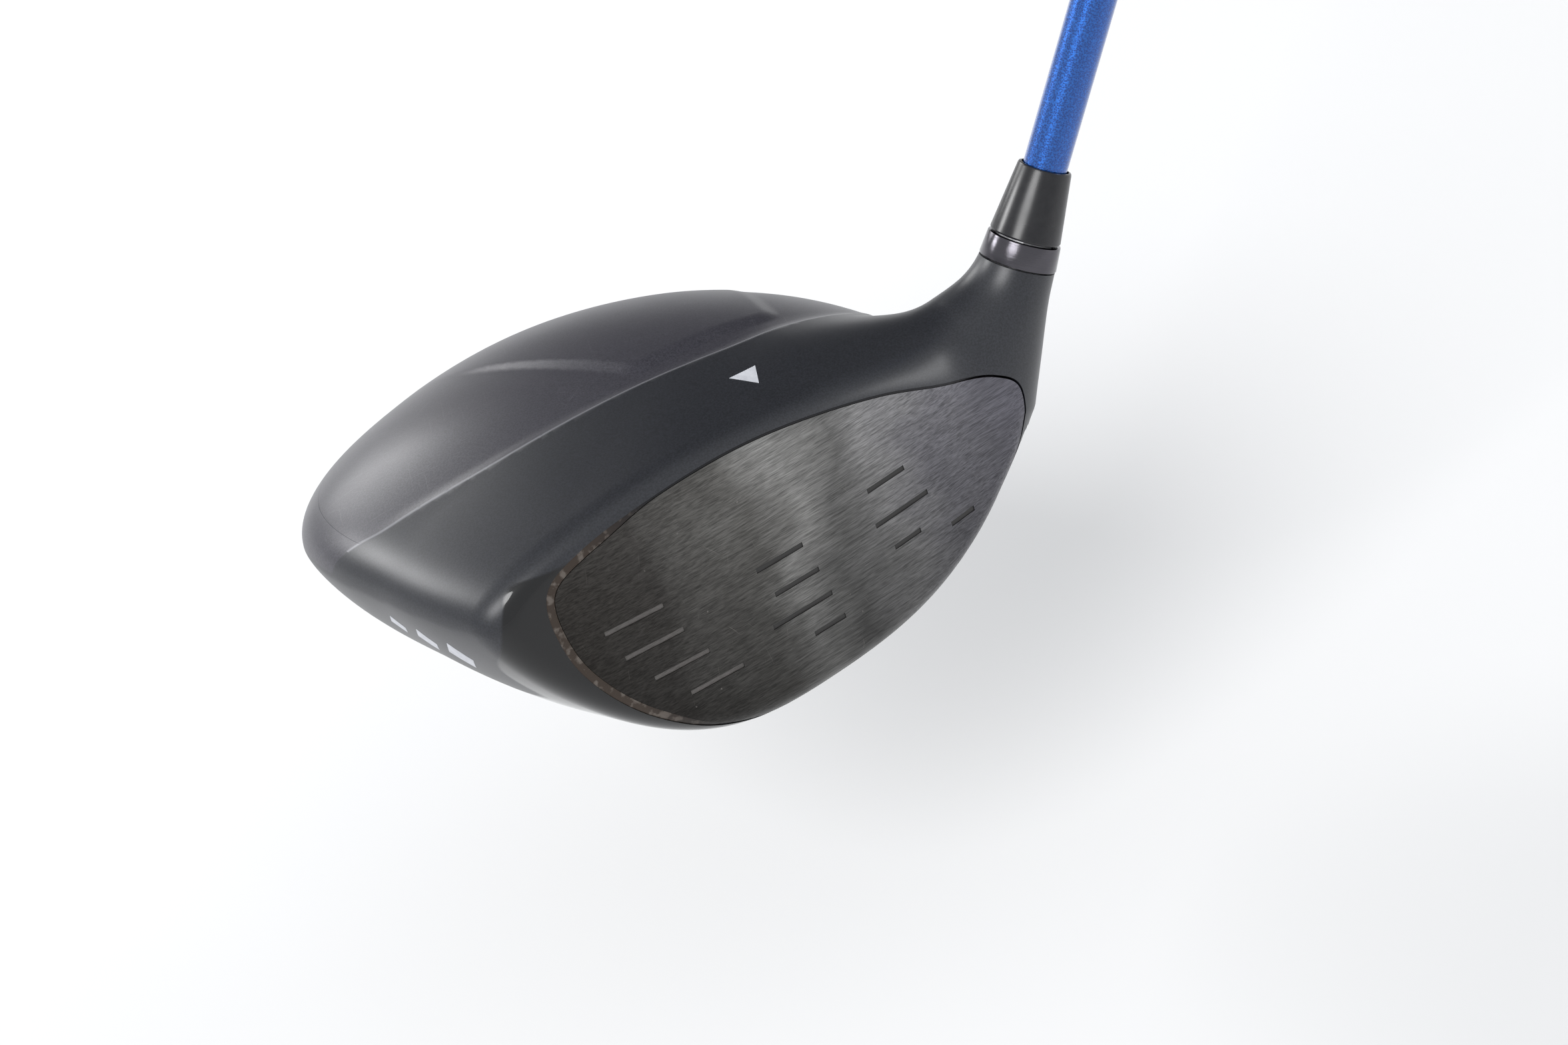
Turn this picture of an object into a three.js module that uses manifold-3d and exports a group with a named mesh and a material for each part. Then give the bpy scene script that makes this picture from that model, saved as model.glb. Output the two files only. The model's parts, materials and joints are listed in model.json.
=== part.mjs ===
// A golf driver: a hollow metal head with a bonded crown and sole, a welded face,
// three screw-in weights, and a shaft that plugs into the hosel with an adapter.
// Millimetres, +Z up, at address: face towards -Y, hosel on the +X side, and the
// origin on the flat of the sole that meets the ground.
import * as THREE from 'three';
import { mergeVertices } from 'three/addons/utils/BufferGeometryUtils.js';
import Module from 'manifold-3d';

const wasm = await Module();
wasm.setup();

// ---- driving dimensions -------------------------------------------------
const GAP = 0.3;                                  // between bonded or seated pieces

// Head: plan outline as a radius every 30 degrees, from the heel round by the back.
const PLAN_RADII = [58.4, 59.6, 63.5, 68, 70.5, 74.3, 66, 66.8, 75.8, 69.7, 67.5, 61.6];
const RIM = { height: 33.6, slopeX: -0.1745, slopeY: -0.139 };     // the widest line
const CROWN = { rise: 27.8, slopeX: 0.112, slopeY: 0.0765, powPlan: 2.0, powUp: 1.95 };
const SOLE = { sink: 0.25, powPlan: 2.43, powDown: 1.36 };
const FACE = { x: 4.2, y: -37.4, z: 35.3, loft: 11.1, bulge: 315, roll: 312, edge: 4.8 };
const LIE = 58.3;                                 // shaft to ground, degrees
const AXIS_FOOT = new THREE.Vector3(35, -22.9, 5.6);
const SADDLE = { blend: 10, inner: [20, -17, 43, 13.2], outer: [49, -21.5, 43.2, 10.6] };
const WALL = 3.2;
const PANEL = 1.6;                                // crown and sole panel thickness
const HEAD_CENTRE = new THREE.Vector3(0, -10, 33);
const AROUND = 44;                                // facets round the head's surface
const UP = 22;                                    // and from its bottom to its top
const INSIDE = { around: 26, up: 14 };            // the same for the hollow inside
const HALVINGS = 26;                              // steps in finding the surface along a line
const LEAST_FACING = 0.45;                        // limits how far a slanting wall is thinned
const FAR = 200;                                  // half-width of blocks that cut right across
const TALL = 90;                                  // height of the block that cuts out the crown

// Crown panel: its front edge is the crease across the top of the head.
const CREASE = [[48, 3], [36, -3.8], [13, -6], [-10, -3.6], [-38, 1.1], [-56, 7.4], [-63, 12.5]];
const CROWN_REACH = 0.93;                         // share of the plan outline it covers
const CROWN_LEDGE = 6;
const RECESS = { depth: 0.9, width: 3.2 };        // the crown panel sits low behind the crease
const PLATEAU = { front: 1.5, toeX: -5, toeLean: -0.44, heelX: 26, heelLean: 0.3, ramp: 3.6 };
const PLATEAU_CORNER = 3;                         // rounding of the plateau's outline
const CROWN_FADE = { from: 34, to: 66 };          // behind this the crown is one smooth surface
const SOLE_PANEL = { x: -2, y: 14, r: 24, ledge: 4 };

// Face plate outline: across from the face centre, and up the face from it.
const PLATE = [[-53, 17], [-44, 22], [-28, 24.6], [-12, 25], [4, 23], [20, 19], [34, 13.5], [45, 9.5],
  [50, 4], [47.5, -6], [38, -17], [24, -25.5], [6, -29.5], [-14, -29], [-30, -24], [-41, -16],
  [-49, -6], [-53.5, 5]];

// Along the shaft axis, from its foot up.
const RING = { bottom: 59.5, top: 64.2, rBottom: 7.5, rTop: 7.1 };
const FERRULE = { bottom: 64.8, top: 78.2, rBottom: 6.85, rTop: 5.2 };
const HOSEL = { top: 59.2, r: 7.35, cone: 0.06, blend: 12, tube: 7.7, fade: 34, taper: 0.5 };
const SEAT = { bottom: 12, top: 14.5, hole: 3.0, port: 5.3, bore: 5.95 };
const SLEEVE = { bottom: 15.2, r: 5.6, bore: 4.6 };
const SCREW = { headBottom: 6.8, headTop: 10.7, headR: 4.3, r: 2.35, top: 26, hex: 2.3, hexDepth: 2.6 };
const WASHER = { bottom: 11, top: 11.7, r: 4.1, hole: 2.75 };
const INSERT = { bottom: 15.6, top: 27, r: 4.3, bore: 2.7 };
const PLUG = { bottom: 27.4, top: 29.6, r: 4.2 };
const SHAFT = { bottom: 30, taper: 150, top: 1137, rTip: 4.25, rButt: 7.6, wall: 1.2 };
const GRIP = { bottom: 872, top: 1138, rLow: 9.2, rHigh: 13.2, tape: 0.35 };
const CAP = { top: 1142, r: 13.2, vent: 1.2 };

// Screw-in weights: places on the sole, and sizes along each one's own axis.
const WEIGHTS = { toe: [-40, 0], heel: [36, 9], rear: [-3, 50] };
const WEIGHT = { r: 6, top: -0.3, under: -3.4, shank: 2.9, end: -9.6, recess: 2.2, recessDepth: 2 };
const GASKET = { r: 5.9, hole: 3.4, top: -3.7, bottom: -4.3 };
const PORT = { r: 6.35, floor: -4.6, thread: 3.25, threadEnd: -10.4, boss: 8.6, bossEnd: -12.4 };

// A soft lump of glue on the floor of the toe that stops rattles.
const GLUE = { x: -30, y: 30, z: 12, length: 9, width: 12, height: 6 };

const MATERIALS = {
  satin: [0x34363f, 0.45, 0.35],
  crown: [0x3d3c46, 0.38, 0.1],
  gloss: [0x0a0a0c, 0.08, 0.1],
  face: [0x55524f, 0.35, 0.9],
  shaft: [0x1550a0, 0.25, 0.5],
  ferrule: [0x121318, 0.3, 0.0],
  ring: [0x4a4650, 0.22, 1.0],
  steel: [0x8a8a8e, 0.35, 1.0],
  tungsten: [0x2c2c30, 0.4, 0.8],
  alloy: [0x9a9ca2, 0.4, 1.0],
  rubber: [0x1a1a1c, 0.8, 0.0],
  foam: [0xd8cfa8, 0.7, 0.0],
  tape: [0xc9c4b4, 0.9, 0.0],
};

// ---- solids -------------------------------------------------------------
function solid(geometry) {
  const bare = geometry.clone();
  bare.deleteAttribute('normal');
  bare.deleteAttribute('uv');
  const merged = mergeVertices(bare, 1e-4);
  const mesh = new wasm.Mesh({
    numProp: 3,
    vertProperties: new Float32Array(merged.attributes.position.array),
    triVerts: new Uint32Array(merged.index.array),
  });
  return new wasm.Manifold(mesh);
}

function geometryOf(body) {
  const mesh = body.getMesh();
  const geometry = new THREE.BufferGeometry();
  geometry.setAttribute('position', new THREE.BufferAttribute(mesh.vertProperties, 3));
  geometry.setIndex(new THREE.BufferAttribute(mesh.triVerts, 1));
  geometry.computeVertexNormals();
  return geometry;
}

// Cuts that meet at a shallow angle can leave a crumb behind: keep the main piece.
function mainPiece(body) {
  const pieces = body.decompose();
  return pieces.reduce((largest, piece) => (piece.volume() > largest.volume() ? piece : largest));
}

const group = new THREE.Group();

function add(name, material, body) {
  const [color, roughness, metalness] = MATERIALS[material];
  const look = new THREE.MeshStandardMaterial({ color, roughness, metalness });
  const mesh = new THREE.Mesh(geometryOf(body), look);
  mesh.name = name;
  group.add(mesh);
}

// A frame whose +Z is the given direction, at the given point.
function frameAt(point, direction) {
  const turn = new THREE.Quaternion();
  turn.setFromUnitVectors(new THREE.Vector3(0, 0, 1), direction);
  return new THREE.Matrix4().compose(point, turn, new THREE.Vector3(1, 1, 1));
}

// A turned piece: pairs of radius and height, closed on the axis or on itself.
function turned(profile, frame, segments = 24) {
  const points = profile.map(([r, z]) => new THREE.Vector2(r, z));
  const lathe = new THREE.LatheGeometry(points, segments);
  lathe.rotateX(Math.PI / 2);
  lathe.applyMatrix4(frame);
  return solid(lathe);
}

function rod(r, bottom, top, frame, segments = 24) {
  return turned([[0, bottom], [r, bottom], [r, top], [0, top]], frame, segments);
}

function tube(r, hole, bottom, top, frame, segments = 24) {
  const ring = [[hole, bottom], [r, bottom], [r, top], [hole, top], [hole, bottom]];
  return turned(ring, frame, segments);
}

function prism(shape, depth, frame) {
  const block = new THREE.ExtrudeGeometry(shape, { depth, bevelEnabled: false, curveSegments: 6 });
  block.applyMatrix4(frame);
  return solid(block);
}

// ---- the head's outer form ----------------------------------------------
const rad = THREE.MathUtils.degToRad;
const SHAFT_DIR = new THREE.Vector3(Math.cos(rad(LIE)), 0, Math.sin(rad(LIE)));
const ALONG_SHAFT = frameAt(AXIS_FOOT, SHAFT_DIR);

// Smooth closed curve of radius against angle through the outline's radii.
function planRadius(angle) {
  const count = PLAN_RADII.length;
  const place = (((angle / (2 * Math.PI)) % 1) + 1) % 1 * count;
  const i = Math.floor(place);
  const f = place - i;
  const [a, b, c, d] = [-1, 0, 1, 2].map((step) => PLAN_RADII[(i + step + count) % count]);
  const bend = f * (f * (3 * (b - c) + d - a) + (2 * a - 5 * b + 4 * c - d)) + (c - a);
  return b + 0.5 * f * bend;
}

function smoothMax(a, b, k) {
  const h = Math.max(k - Math.abs(a - b), 0) / k;
  return Math.max(a, b) + (h * h * k) / 4;
}

const smoothMin = (a, b, k) => -smoothMax(-a, -b, k);
const ease = (x) => THREE.MathUtils.smoothstep(x, 0, 1);

// 1 on the raised middle of the crown, 0 off it.
function plateau(x, y) {
  const back = y - PLATEAU.front;
  const fromToe = x - (PLATEAU.toeX + PLATEAU.toeLean * back);
  const fromHeel = PLATEAU.heelX + PLATEAU.heelLean * back - x;
  const sides = smoothMin(fromToe, fromHeel, PLATEAU_CORNER);
  const inside = smoothMin(sides, back, PLATEAU_CORNER);
  return ease(inside / PLATEAU.ramp + 0.5);
}

// How far back from the crease a plan position lies.
function behindCrease(x, y) {
  const after = CREASE.findIndex(([at]) => at < x);
  const next = after < 0 ? CREASE.length - 1 : Math.max(after, 1);
  const [x0, y0] = CREASE[next - 1];
  const [x1, y1] = CREASE[next];
  return y - THREE.MathUtils.lerp(y0, y1, THREE.MathUtils.clamp((x - x0) / (x1 - x0), 0, 1));
}

// Depth of the crown below the front band: the raised middle and the tail are level with it.
function recess(x, y) {
  const fade = 1 - ease((y - CROWN_FADE.from) / (CROWN_FADE.to - CROWN_FADE.from));
  const sunk = ease(behindCrease(x, y) / RECESS.width);
  return RECESS.depth * sunk * fade * (1 - plateau(x, y) * fade);
}

// Each form is negative inside, roughly in millimetres near its surface.
function bodyForm(p) {
  const r = Math.hypot(p.x, p.y);
  const rim = RIM.height + RIM.slopeX * p.x + RIM.slopeY * p.y;
  const up = p.z >= rim;
  const rise = CROWN.rise + CROWN.slopeX * p.x + CROWN.slopeY * p.y;
  const reach = Math.max(up ? rise : rim + SOLE.sink, 3);
  const plan = Math.pow(r / planRadius(Math.atan2(p.y, p.x)), up ? CROWN.powPlan : SOLE.powPlan);
  const lift = Math.pow(Math.abs(p.z - rim) / reach, up ? CROWN.powUp : SOLE.powDown);
  const power = up ? CROWN.powPlan + CROWN.powUp : SOLE.powPlan + SOLE.powDown;
  const size = Math.pow(plan + lift + 1e-12, 2 / power);
  const sunk = up ? recess(p.x, p.y) * ease(lift) : 0;
  return Math.hypot(r, p.z - rim) * (1 - 1 / Math.max(size, 1e-3)) + sunk;
}

function faceForm(p) {
  const x = p.x - FACE.x;
  const z = p.z - FACE.z;
  const y = FACE.y + z * Math.tan(rad(FACE.loft)) + (x * x) / (2 * FACE.bulge) + (z * z) / (2 * FACE.roll);
  return (y - p.y) * Math.cos(rad(FACE.loft));
}

// The saddle that carries the crown across to the hosel: a round bar, fatter at one end.
function saddleForm(p) {
  const [x, y, z, rInner] = SADDLE.inner;
  const inner = new THREE.Vector3(x, y, z);
  const bar = new THREE.Vector3(...SADDLE.outer.slice(0, 3)).sub(inner);
  const from = p.clone().sub(inner);
  const share = THREE.MathUtils.clamp(from.dot(bar) / bar.lengthSq(), 0, 1);
  const r = rInner + (SADDLE.outer[3] - rInner) * share;
  return from.addScaledVector(bar, -share).length() - r;
}

function headForm(p) {
  const body = smoothMin(bodyForm(p), saddleForm(p), SADDLE.blend);
  return smoothMax(body, faceForm(p), FACE.edge);
}

function hoselForm(p) {
  const from = p.clone().sub(AXIS_FOOT);
  const t = from.dot(SHAFT_DIR);
  const r = Math.sqrt(Math.max(from.lengthSq() - t * t, 0));
  const cone = HOSEL.cone * (HOSEL.top - t) - HOSEL.taper * Math.max(HOSEL.fade - t, 0);
  return r - HOSEL.r - cone;
}

function wholeForm(p) {
  return smoothMin(headForm(p), hoselForm(p), HOSEL.blend);
}

// Distance from a point along a direction to the surface of a form.
function reachTo(form, from, direction, limit) {
  let near = 0;
  let far = limit;
  for (let i = 0; i < HALVINGS; i += 1) {
    const middle = (near + far) / 2;
    const inside = form(from.clone().addScaledVector(direction, middle)) < 0;
    near = inside ? middle : near;
    far = inside ? far : middle;
  }
  return near;
}

function normalOf(form, p) {
  const step = 0.05;
  const slope = ['x', 'y', 'z'].map((axis) => {
    const ahead = p.clone();
    const behind = p.clone();
    ahead[axis] += step;
    behind[axis] -= step;
    return form(ahead) - form(behind);
  });
  return new THREE.Vector3(...slope).normalize();
}

// The head's surface, moved inwards by depth: a sphere with its points drawn out to it.
function headShell(depth, around, up) {
  const ball = new THREE.SphereGeometry(1, around, up);
  ball.rotateX(Math.PI / 2);
  const points = ball.attributes.position;
  for (let i = 0; i < points.count; i += 1) {
    const ray = new THREE.Vector3().fromBufferAttribute(points, i).normalize();
    const length = reachTo(headForm, HEAD_CENTRE, ray, 140);
    const hit = HEAD_CENTRE.clone().addScaledVector(ray, length);
    const facing = Math.max(normalOf(headForm, hit).dot(ray), LEAST_FACING);
    hit.addScaledVector(ray, -depth / facing);
    points.setXYZ(i, hit.x, hit.y, hit.z);
  }
  return solid(ball);
}

// The hosel and its flare into the head: a cylinder with its sides drawn out to the form.
function hoselFlare() {
  const bottom = 22;
  const rows = 8;
  const length = HOSEL.top - bottom;
  const pipe = new THREE.CylinderGeometry(1, 1, length, 28, rows);
  pipe.rotateX(Math.PI / 2);
  pipe.translate(0, 0, bottom + length / 2);
  const points = pipe.attributes.position;
  for (let i = 0; i < points.count; i += 1) {
    const local = new THREE.Vector3().fromBufferAttribute(points, i);
    const share = Math.hypot(local.x, local.y);
    if (share < 1e-6) continue;
    const out = new THREE.Vector3(local.x, local.y, 0).normalize().transformDirection(ALONG_SHAFT);
    const from = new THREE.Vector3(0, 0, local.z).applyMatrix4(ALONG_SHAFT);
    const limit = HOSEL.r + Math.max(HOSEL.top - local.z, 0);
    const r = reachTo(wholeForm, from, out, limit);
    points.setXYZ(i, (local.x / share) * r, (local.y / share) * r, local.z);
  }
  pipe.applyMatrix4(ALONG_SHAFT);
  return solid(pipe);
}

// ---- outlines for the panels --------------------------------------------
function crownOutline(inset) {
  const front = new THREE.SplineCurve(CREASE.map(([x, y]) => new THREE.Vector2(x, y + inset)));
  const points = front.getPoints(14).map((p) => {
    const reach = CROWN_REACH * planRadius(Math.atan2(p.y, p.x)) - inset;
    return p.clone().multiplyScalar(Math.min(1, reach / p.length()));
  });
  const start = Math.atan2(points.at(-1).y, points.at(-1).x);
  const end = Math.atan2(points[0].y, points[0].x);
  const steps = 18;
  for (let i = 1; i < steps; i += 1) {
    const angle = start + ((end - start) * i) / steps;
    const r = CROWN_REACH * planRadius(angle) - inset;
    points.push(new THREE.Vector2(r * Math.cos(angle), r * Math.sin(angle)));
  }
  return new THREE.Shape(points);
}

function circle(x, y, r, count = 28) {
  const ring = new THREE.Path().absarc(x, y, r, 0, 2 * Math.PI).getPoints(count);
  return new THREE.Shape(ring.slice(0, -1));
}

function plateOutline(inset) {
  const shrink = (value, size) => value * (1 - inset / size);
  const corners = PLATE.map(([x, y]) => new THREE.Vector3(shrink(x, 50), shrink(y, 27), 0));
  const curve = new THREE.CatmullRomCurve3(corners, true);
  const points = curve.getPoints(28).slice(0, -1);
  return new THREE.Shape(points.map((p) => new THREE.Vector2(p.x, p.y)));
}

const UPRIGHT = (z) => new THREE.Matrix4().makeTranslation(0, 0, z);

// Only what lies above the rim belongs to the crown.
const RIM_UP = new THREE.Vector3(-RIM.slopeX, -RIM.slopeY, 1).normalize();
const ABOVE_RIM = new THREE.Vector3(0, 0, RIM.height + 3);
const aboveRim = prism(circle(0, 0, FAR, 8), TALL, frameAt(ABOVE_RIM, RIM_UP));

function crownBlock(inset) {
  return prism(crownOutline(inset), TALL, UPRIGHT(0)).intersect(aboveRim);
}

function soleBlock(inset) {
  return prism(circle(SOLE_PANEL.x, SOLE_PANEL.y, SOLE_PANEL.r - inset), 40, UPRIGHT(-10));
}

// The block stands on the face: its local X is +X and its local Z points out of the face.
function faceBlock(inset) {
  const front = 14;
  const depth = 23;
  const frame = new THREE.Matrix4().makeRotationX(Math.PI / 2 - rad(FACE.loft));
  frame.setPosition(FACE.x, FACE.y, FACE.z);
  frame.multiply(UPRIGHT(front - depth));
  return prism(plateOutline(inset), depth, frame);
}

// ---- head ---------------------------------------------------------------
function weightFrame([x, y]) {
  const below = reachTo(headForm, new THREE.Vector3(x, y, 25), new THREE.Vector3(0, 0, -1), 60);
  const place = new THREE.Vector3(x, y, 25 - below);
  return frameAt(place, normalOf(headForm, place));
}

const ground = prism(circle(0, 0, FAR, 8), FAR, UPRIGHT(-FAR));
const outer = headShell(0, AROUND, UP).add(hoselFlare()).subtract(ground);
const skinBack = headShell(PANEL, AROUND, UP);
const ledgeTop = headShell(PANEL + GAP, AROUND, UP);

const hoselTube = rod(HOSEL.tube, -6, HOSEL.top, ALONG_SHAFT);
const weightFrames = Object.fromEntries(
  Object.entries(WEIGHTS).map(([name, place]) => [name, weightFrame(place)]),
);

// The hollow inside, less the hosel's tube and the bosses that hold the weights.
function cavity() {
  let space = headShell(WALL, INSIDE.around, INSIDE.up).subtract(hoselTube);
  for (const frame of Object.values(weightFrames)) {
    space = space.subtract(rod(PORT.boss, PORT.bossEnd, 8, frame));
  }
  return space;
}

const shell = outer.subtract(cavity());

function headBody() {
  const crownSeat = crownBlock(0).subtract(ledgeTop);
  const soleSeat = soleBlock(0).subtract(ledgeTop);
  let body = shell.subtract(crownSeat).subtract(soleSeat);
  body = body.subtract(crownBlock(CROWN_LEDGE).subtract(hoselTube));
  body = body.subtract(soleBlock(SOLE_PANEL.ledge)).subtract(faceBlock(0).subtract(hoselTube));
  for (const frame of Object.values(weightFrames)) {
    body = body.subtract(rod(PORT.r, PORT.floor, 12, frame));
    body = body.subtract(rod(PORT.thread, PORT.threadEnd, 0, frame, 16));
  }
  body = body.subtract(rod(SEAT.port, -20, SEAT.bottom, ALONG_SHAFT));
  body = body.subtract(rod(SEAT.hole, 0, SEAT.top + 1, ALONG_SHAFT, 16));
  return mainPiece(body.subtract(rod(SEAT.bore, SEAT.top, HOSEL.top + 5, ALONG_SHAFT)));
}

function facePlate() {
  const clearOfTube = rod(HOSEL.tube + GAP, -10, HOSEL.top + 5, ALONG_SHAFT);
  return shell.intersect(faceBlock(GAP)).subtract(clearOfTube);
}

function panelSkin(block) {
  return outer.subtract(skinBack).intersect(block);
}

add('head_body', 'satin', headBody());
add('face_plate', 'face', facePlate());
add('crown_panel', 'crown', panelSkin(crownBlock(GAP)));
add('sole_panel', 'gloss', panelSkin(soleBlock(GAP)));

function rattleGlue() {
  const lump = new THREE.SphereGeometry(1, 16, 10);
  lump.scale(GLUE.length, GLUE.width, GLUE.height);
  lump.translate(GLUE.x, GLUE.y, GLUE.z);
  const room = headShell(WALL + GAP, INSIDE.around, INSIDE.up);
  return mainPiece(solid(lump).intersect(room));
}
add('rattle_glue', 'foam', rattleGlue());

// ---- weights ------------------------------------------------------------
function weight(frame) {
  const blank = turned([
    [0, WEIGHT.end], [WEIGHT.shank - 0.5, WEIGHT.end], [WEIGHT.shank, WEIGHT.end + 0.5],
    [WEIGHT.shank, WEIGHT.under], [WEIGHT.r, WEIGHT.under], [WEIGHT.r, WEIGHT.top - 0.5],
    [WEIGHT.r - 0.5, WEIGHT.top], [0, WEIGHT.top],
  ], frame);
  return blank.subtract(rod(WEIGHT.recess, WEIGHT.top - WEIGHT.recessDepth, 5, frame, 6));
}

for (const [name, frame] of Object.entries(weightFrames)) {
  add(`${name}_gasket`, 'rubber', tube(GASKET.r, GASKET.hole, GASKET.bottom, GASKET.top, frame, 24));
  add(`${name}_weight`, 'tungsten', weight(frame));
}

// ---- hosel screw, from below --------------------------------------------
function hoselScrew() {
  const blank = turned([
    [0, SCREW.headBottom], [SCREW.headR - 0.5, SCREW.headBottom], [SCREW.headR, SCREW.headBottom + 0.5],
    [SCREW.headR, SCREW.headTop], [SCREW.r, SCREW.headTop], [SCREW.r, SCREW.top - 0.6],
    [SCREW.r - 0.6, SCREW.top], [0, SCREW.top],
  ], ALONG_SHAFT, 24);
  const hexTop = SCREW.headBottom + SCREW.hexDepth;
  return blank.subtract(rod(SCREW.hex, SCREW.headBottom - 5, hexTop, ALONG_SHAFT, 6));
}
add('screw_washer', 'steel', tube(WASHER.r, WASHER.hole, WASHER.bottom, WASHER.top, ALONG_SHAFT, 24));
add('hosel_screw', 'steel', hoselScrew());

// ---- adapter, ferrule and shaft -----------------------------------------
const alongTube = (...sizes) => tube(...sizes, ALONG_SHAFT);
add('adapter_sleeve', 'alloy', alongTube(SLEEVE.r, SLEEVE.bore, SLEEVE.bottom, FERRULE.bottom - GAP));
add('thread_insert', 'alloy', alongTube(INSERT.r, INSERT.bore, INSERT.bottom, INSERT.top));
add('tip_plug', 'rubber', rod(PLUG.r, PLUG.bottom, PLUG.top, ALONG_SHAFT, 24));

function adapterRing() {
  const hole = SLEEVE.r + GAP;
  return turned([
    [hole, RING.bottom], [RING.rBottom - 0.2, RING.bottom], [RING.rBottom, RING.bottom + 0.2],
    [RING.rTop, RING.top - 0.2], [RING.rTop - 0.2, RING.top], [hole, RING.top], [hole, RING.bottom],
  ], ALONG_SHAFT);
}
add('adapter_ring', 'ring', adapterRing());

function ferrule() {
  const hole = SHAFT.rTip + GAP;
  return turned([
    [hole, FERRULE.bottom], [FERRULE.rBottom, FERRULE.bottom], [FERRULE.rTop, FERRULE.top - 0.3],
    [FERRULE.rTop - 0.3, FERRULE.top], [hole, FERRULE.top], [hole, FERRULE.bottom],
  ], ALONG_SHAFT);
}
add('ferrule', 'ferrule', ferrule());

function shaftRadius(t) {
  const share = Math.max(t - SHAFT.taper, 0) / (SHAFT.top - SHAFT.taper);
  return SHAFT.rTip + (SHAFT.rButt - SHAFT.rTip) * share;
}

function shaft() {
  const { bottom, taper, top, wall } = SHAFT;
  return turned([
    [shaftRadius(bottom) - wall, bottom], [shaftRadius(bottom), bottom], [shaftRadius(taper), taper],
    [shaftRadius(top), top], [shaftRadius(top) - wall, top], [shaftRadius(taper) - wall, taper],
    [shaftRadius(bottom) - wall, bottom],
  ], ALONG_SHAFT);
}
add('shaft', 'shaft', shaft());

// Tape and grip follow the shaft's taper.
const tapeIn = (t) => shaftRadius(t) + GAP;
const tapeOut = (t) => tapeIn(t) + GRIP.tape;
const gripIn = (t) => tapeOut(t) + GAP;

function sleeveBetween(inner, outerLow, outerHigh, low, high) {
  return turned([
    [inner(low), low], [outerLow, low], [outerHigh, high], [inner(high), high], [inner(low), low],
  ], ALONG_SHAFT);
}
add('grip_tape', 'tape', sleeveBetween(
  tapeIn, tapeOut(GRIP.bottom + 4), tapeOut(GRIP.top - 4), GRIP.bottom + 4, GRIP.top - 4,
));
add('grip', 'rubber', sleeveBetween(gripIn, GRIP.rLow, GRIP.rHigh, GRIP.bottom, GRIP.top));

function gripCap() {
  const disc = rod(CAP.r, GRIP.top + GAP, CAP.top, ALONG_SHAFT);
  return disc.subtract(rod(CAP.vent, GRIP.top - 2, CAP.top + 2, ALONG_SHAFT, 12));
}
add('grip_cap', 'rubber', gripCap());

export default group;
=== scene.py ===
import json
import math

import bpy
import numpy as np
from mathutils import Matrix, Vector


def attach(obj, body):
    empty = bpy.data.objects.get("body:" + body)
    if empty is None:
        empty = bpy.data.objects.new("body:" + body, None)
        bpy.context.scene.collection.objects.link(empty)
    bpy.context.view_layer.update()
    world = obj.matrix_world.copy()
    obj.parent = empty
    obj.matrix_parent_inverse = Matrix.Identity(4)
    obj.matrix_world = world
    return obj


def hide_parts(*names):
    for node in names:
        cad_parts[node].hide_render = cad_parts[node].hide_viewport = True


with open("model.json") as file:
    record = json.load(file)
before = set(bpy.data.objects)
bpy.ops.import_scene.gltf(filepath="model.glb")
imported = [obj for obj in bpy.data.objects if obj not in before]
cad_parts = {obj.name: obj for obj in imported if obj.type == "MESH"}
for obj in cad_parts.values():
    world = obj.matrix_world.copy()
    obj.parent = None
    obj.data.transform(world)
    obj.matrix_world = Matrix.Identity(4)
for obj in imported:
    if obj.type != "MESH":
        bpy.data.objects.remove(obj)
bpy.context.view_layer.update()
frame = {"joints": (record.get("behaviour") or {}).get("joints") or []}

# ---- driving sizes, in millimetres unless a name says otherwise -----------
MM = 0.001
PLAN_RADII = (58.4, 59.6, 63.5, 68, 70.5, 74.3, 66, 66.8, 75.8, 69.7, 67.5, 61.6)
RIM = dict(height=33.6, slope_x=-0.1745, slope_y=-0.139)
CROWN = dict(rise=27.8, slope_x=0.112, slope_y=0.0765, plan=2.0, up=1.95)
SOLE = dict(sink=0.25, plan=2.43, down=1.36)
FACE = dict(place=(4.2, -37.4, 35.3), loft=11.1, bulge=315.0, roll=312.0, edge=4.8)
SADDLE = dict(inner=(20, -17, 43), r_inner=13.2, outer=(49, -21.5, 43.2), r_outer=10.6, blend=10.0)
HOSEL = dict(top=59.2, r=7.35, cone=0.06, fade=34.0, taper=0.5, blend=12.0)
CREASE = ((60, 10), (48, 3), (36, -3.8), (13, -6), (-10, -3.6), (-38, 1.1), (-56, 7.4), (-63, 12.5),
          (-72, 22))
RECESS = dict(depth=0.9, width=3.2)
PLATEAU = dict(front=1.5, toe_x=-5, toe_lean=-0.44, heel_x=26, heel_lean=0.3, ramp=3.6, corner=3.0,
               fade=34, gone=66)
CROWN_REACH = 0.93
SOLE_PANEL = dict(x=-2, y=14, r=24)
PLATE = ((-53, 17), (-44, 22), (-28, 24.6), (-12, 25), (4, 23), (20, 19), (34, 13.5), (45, 9.5),
         (50, 4), (47.5, -6), (38, -17), (24, -25.5), (6, -29.5), (-14, -29), (-30, -24), (-41, -16),
         (-49, -6), (-53.5, 5))
WALL = 3.2
SEAM = 0.03
SKIN_STEP = 1.1
FINE_SIDES = 96

JOINTS = {joint["name"]: joint for joint in frame["joints"]}


def joint_line(name):
    """A joint's point and direction, in millimetres."""
    joint = JOINTS[name]
    place = np.array(joint["pos_m"]) / MM
    return place, np.array(joint["axis"])


SCREW_PLACE, DOWN_SHAFT = joint_line("hosel_screw_turn")
SHAFT_DIR = -DOWN_SHAFT
SCREW_ALONG = 9.0                     # the screw's joint, up the shaft from the axis's foot
AXIS_FOOT = SCREW_PLACE - SCREW_ALONG * SHAFT_DIR


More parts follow.
